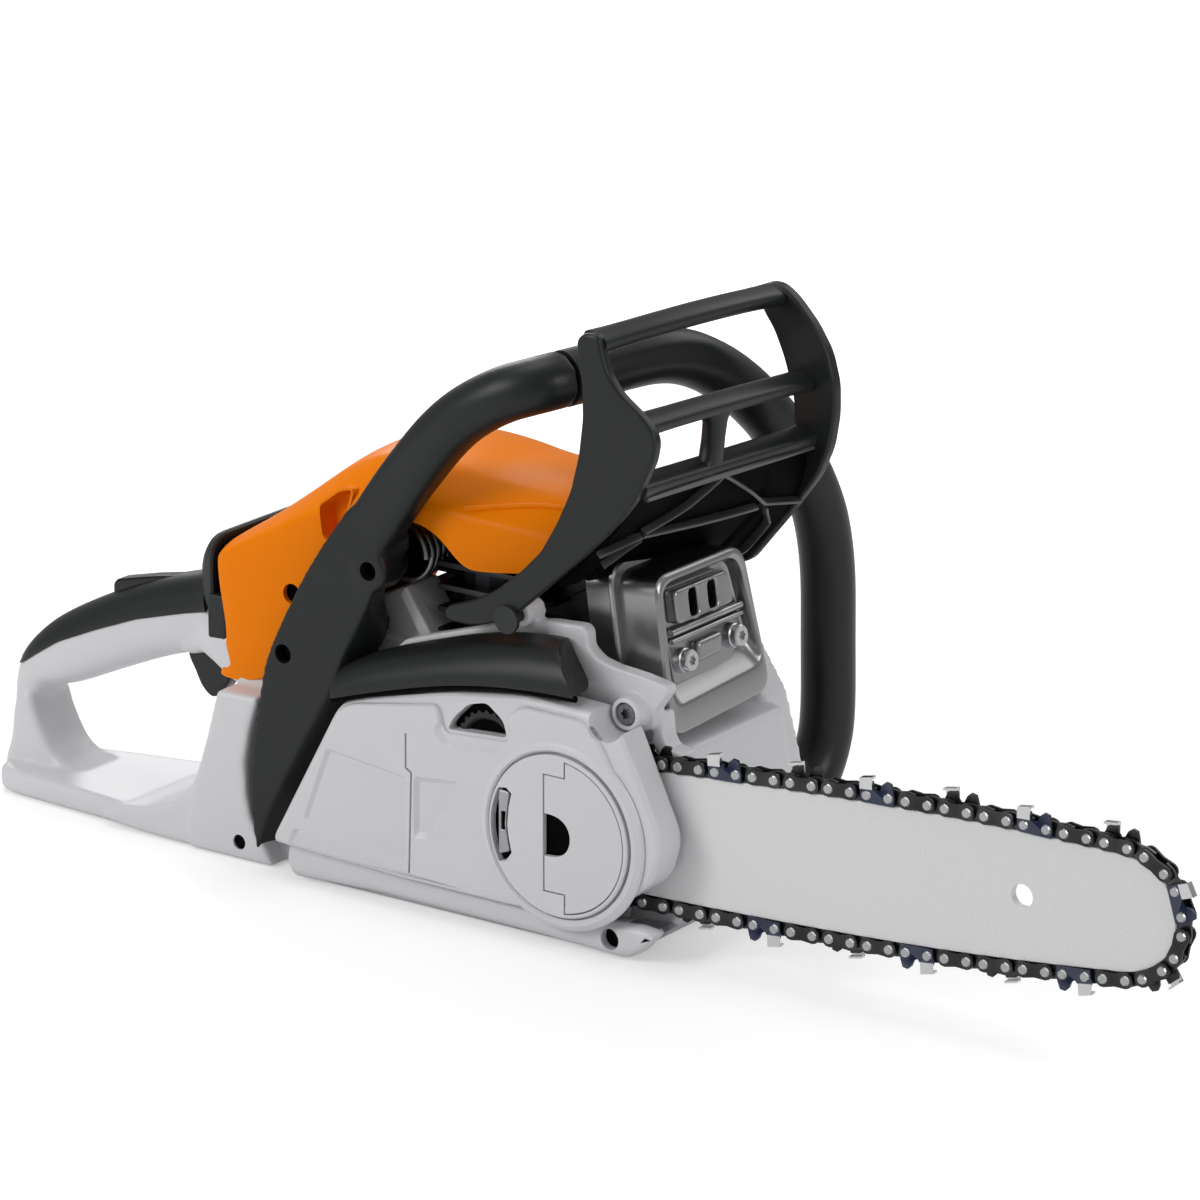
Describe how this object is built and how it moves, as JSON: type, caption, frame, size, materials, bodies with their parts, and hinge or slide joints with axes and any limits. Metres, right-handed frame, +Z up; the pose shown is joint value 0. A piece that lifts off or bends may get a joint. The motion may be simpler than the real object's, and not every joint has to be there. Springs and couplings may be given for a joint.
{
  "type": "chainsaw",
  "caption": "Petrol chainsaw with a rear handle, a wrap-around front handle, a hinged hand guard and a tool-free chain tensioner.",
  "frame": {"origin": "on the flat underside of the engine housing, under the crankshaft axis and on the middle plane of the engine", "axes": "+X forward to the bar tip, +Y to the saw's left, +Z up"},
  "size_m": [0.6242, 0.2042, 0.266],
  "materials": {
    "orange_plastic": "semi-gloss orange moulding",
    "white_plastic": "satin light grey moulding",
    "black_plastic": "fine-grained black moulding",
    "tube_grip": "soft satin black sleeve",
    "gloss_black": "glossy black moulding",
    "steel": "bright steel",
    "chain_steel": "blued and plated chain steel",
    "muffler_steel": "satin pressed steel",
    "cast_alloy": "cast light alloy",
    "rubber": "black rubber",
    "starter_cord": "braided cord",
    "bar_paint": "light grey paint"
  },
  "bodies": {
    "saw": {"air_filter": "rubber", "bar_stud": "steel", "brake_band": "steel", "brake_housing": "black_plastic", "carburettor": "cast_alloy", "chain_catcher": "cast_alloy", "clutch_cover": "white_plastic", "connecting_rod": "steel", "crank_pin": "steel", "crankcase": "cast_alloy", "cylinder": "cast_alloy", "engine_housing": "white_plastic", "fan_cover": "white_plastic", "front_av_spring": "steel", "front_bracket": "white_plastic", "front_handle": "tube_grip", "guard_pin_left": "steel", "guard_pin_right": "steel", "handle_arm": "black_plastic", "handle_foot_buffer": "rubber", "handle_moulding": "black_plastic", "ignition_coil": "rubber", "intake_boot": "rubber", "lower_av_buffer": "rubber", "muffler": "muffler_steel", "muffler_screw_lower": "steel", "muffler_screw_upper": "steel", "oil_pump": "cast_alloy", "piston": "cast_alloy", "plug_boot": "rubber", "rear_av_buffer": "rubber", "rear_handle": "white_plastic", "rewind_spring": "steel", "spark_plug": "steel", "spark_screen_bracket": "muffler_steel", "spring_bracket": "white_plastic", "starter_rope": "starter_cord", "top_cover": "orange_plastic"},
    "throttle_trigger": {"throttle_trigger": "gloss_black"},
    "throttle_interlock": {"throttle_interlock": "gloss_black"},
    "throttle_rod": {"throttle_rod": "steel"},
    "throttle_shaft": {"throttle_lever": "steel"},
    "hand_guard": {"hand_guard": "black_plastic"},
    "control_lever": {"control_lever": "gloss_black"},
    "starter_grip": {"starter_grip": "gloss_black"},
    "starter_rotor": {"starter_rotor": "gloss_black"},
    "clutch_drum": {"clutch_drum": "steel"},
    "crankshaft": {"crankshaft_right": "steel", "crankshaft_left": "steel", "flywheel": "cast_alloy", "clutch_shoes": "cast_alloy"},
    "bar_and_chain": {"guide_bar": "bar_paint", "saw_chain": "chain_steel"},
    "chain_adjuster": {"chain_adjuster": "gloss_black", "adjuster_spindle": "steel"},
    "wing_nut": {"wing_nut_disc": "white_plastic"},
    "wing_flap": {"wing_nut_flap": "white_plastic"},
    "fuel_cap": {"fuel_cap": "gloss_black"},
    "oil_cap": {"oil_cap": "gloss_black"}
  },
  "joints": [
    {"name": "trigger_pull", "type": "hinge", "parent": "saw", "child": "throttle_trigger", "pos_m": [-0.136, -0.022, 0.08], "axis": [0, 1, 0], "range_deg": [0, 15], "stiffness_Nm_per_rad": 0.05, "springref_deg": -11.46},
    {"name": "interlock_press", "type": "hinge", "parent": "saw", "child": "throttle_interlock", "pos_m": [-0.146, -0.022, 0.101], "axis": [0, -1, 0], "range_deg": [0, 5], "stiffness_Nm_per_rad": 0.2, "springref_deg": -17.19},
    {"name": "throttle_rod_slide", "type": "slide", "parent": "saw", "child": "throttle_rod", "axis": [1, 0, 0], "range_m": [-0.0001, 0.0018]},
    {"name": "throttle_shaft_turn", "type": "hinge", "parent": "saw", "child": "throttle_shaft", "pos_m": [-0.068, -0.017, 0.1175], "axis": [0, 1, 0], "range_deg": [-1, 12]},
    {"name": "brake_guard_tilt", "type": "hinge", "parent": "saw", "child": "hand_guard", "pos_m": [0.045, 0, 0.137], "axis": [0, 1, 0], "range_deg": [0, 15]},
    {"name": "control_lever_turn", "type": "hinge", "parent": "saw", "child": "control_lever", "pos_m": [-0.118, 0.047, 0.11], "axis": [0, -1, 0], "range_deg": [-25, 25]},
    {"name": "starter_pull", "type": "slide", "parent": "saw", "child": "starter_grip", "axis": [0, 0, 1], "range_m": [0, 0.8], "deforming": ["starter_rope"]},
    {"name": "starter_rotor_turn", "type": "hinge", "parent": "saw", "child": "starter_rotor", "pos_m": [0, 0.073, 0.052], "axis": [0, 1, 0], "continuous": true},
    {"name": "clutch_drum_turn", "type": "hinge", "parent": "saw", "child": "clutch_drum", "pos_m": [0, -0.056, 0.052], "axis": [0, 1, 0], "continuous": true},
    {"name": "crankshaft_turn", "type": "hinge", "parent": "saw", "child": "crankshaft", "pos_m": [0, 0, 0.052], "axis": [0, 1, 0], "continuous": true},
    {"name": "adjuster_turn", "type": "hinge", "parent": "saw", "child": "chain_adjuster", "pos_m": [0.037, -0.066, 0.081], "axis": [0, 1, 0], "range_deg": [-370, 75]},
    {"name": "bar_slide", "type": "slide", "parent": "saw", "child": "bar_and_chain", "axis": [0.9984, 0, 0.0558], "range_m": [-0.0041, 0.0008]},
    {"name": "wing_nut_turn", "type": "hinge", "parent": "saw", "child": "wing_nut", "pos_m": [0.078, -0.074, 0.0515], "axis": [0, 1, 0], "range_deg": [0, 540]},
    {"name": "wing_flap_fold", "type": "hinge", "parent": "wing_nut", "child": "wing_flap", "pos_m": [0.0724, -0.07285, 0.0515], "axis": [0, 0, -1], "range_deg": [0, 88]},
    {"name": "fuel_cap_turn", "type": "hinge", "parent": "saw", "child": "fuel_cap", "pos_m": [-0.099, 0.052, 0.04], "axis": [0, 1, 0], "range_deg": [0, 90]},
    {"name": "oil_cap_turn", "type": "hinge", "parent": "saw", "child": "oil_cap", "pos_m": [0.086, 0.058, 0.06], "axis": [0, 1, 0], "range_deg": [0, 90]}
  ],
  "couplings": [
    {"joint": "throttle_rod_slide", "follows": "trigger_pull", "m_per_rad": 0.006},
    {"joint": "throttle_shaft_turn", "follows": "trigger_pull", "ratio": 0.7},
    {"joint": "starter_rotor_turn", "follows": "starter_pull", "rad_per_m": 47.6},
    {"joint": "adjuster_turn", "follows": "bar_slide", "rad_per_m": 1562.5}
  ]
}
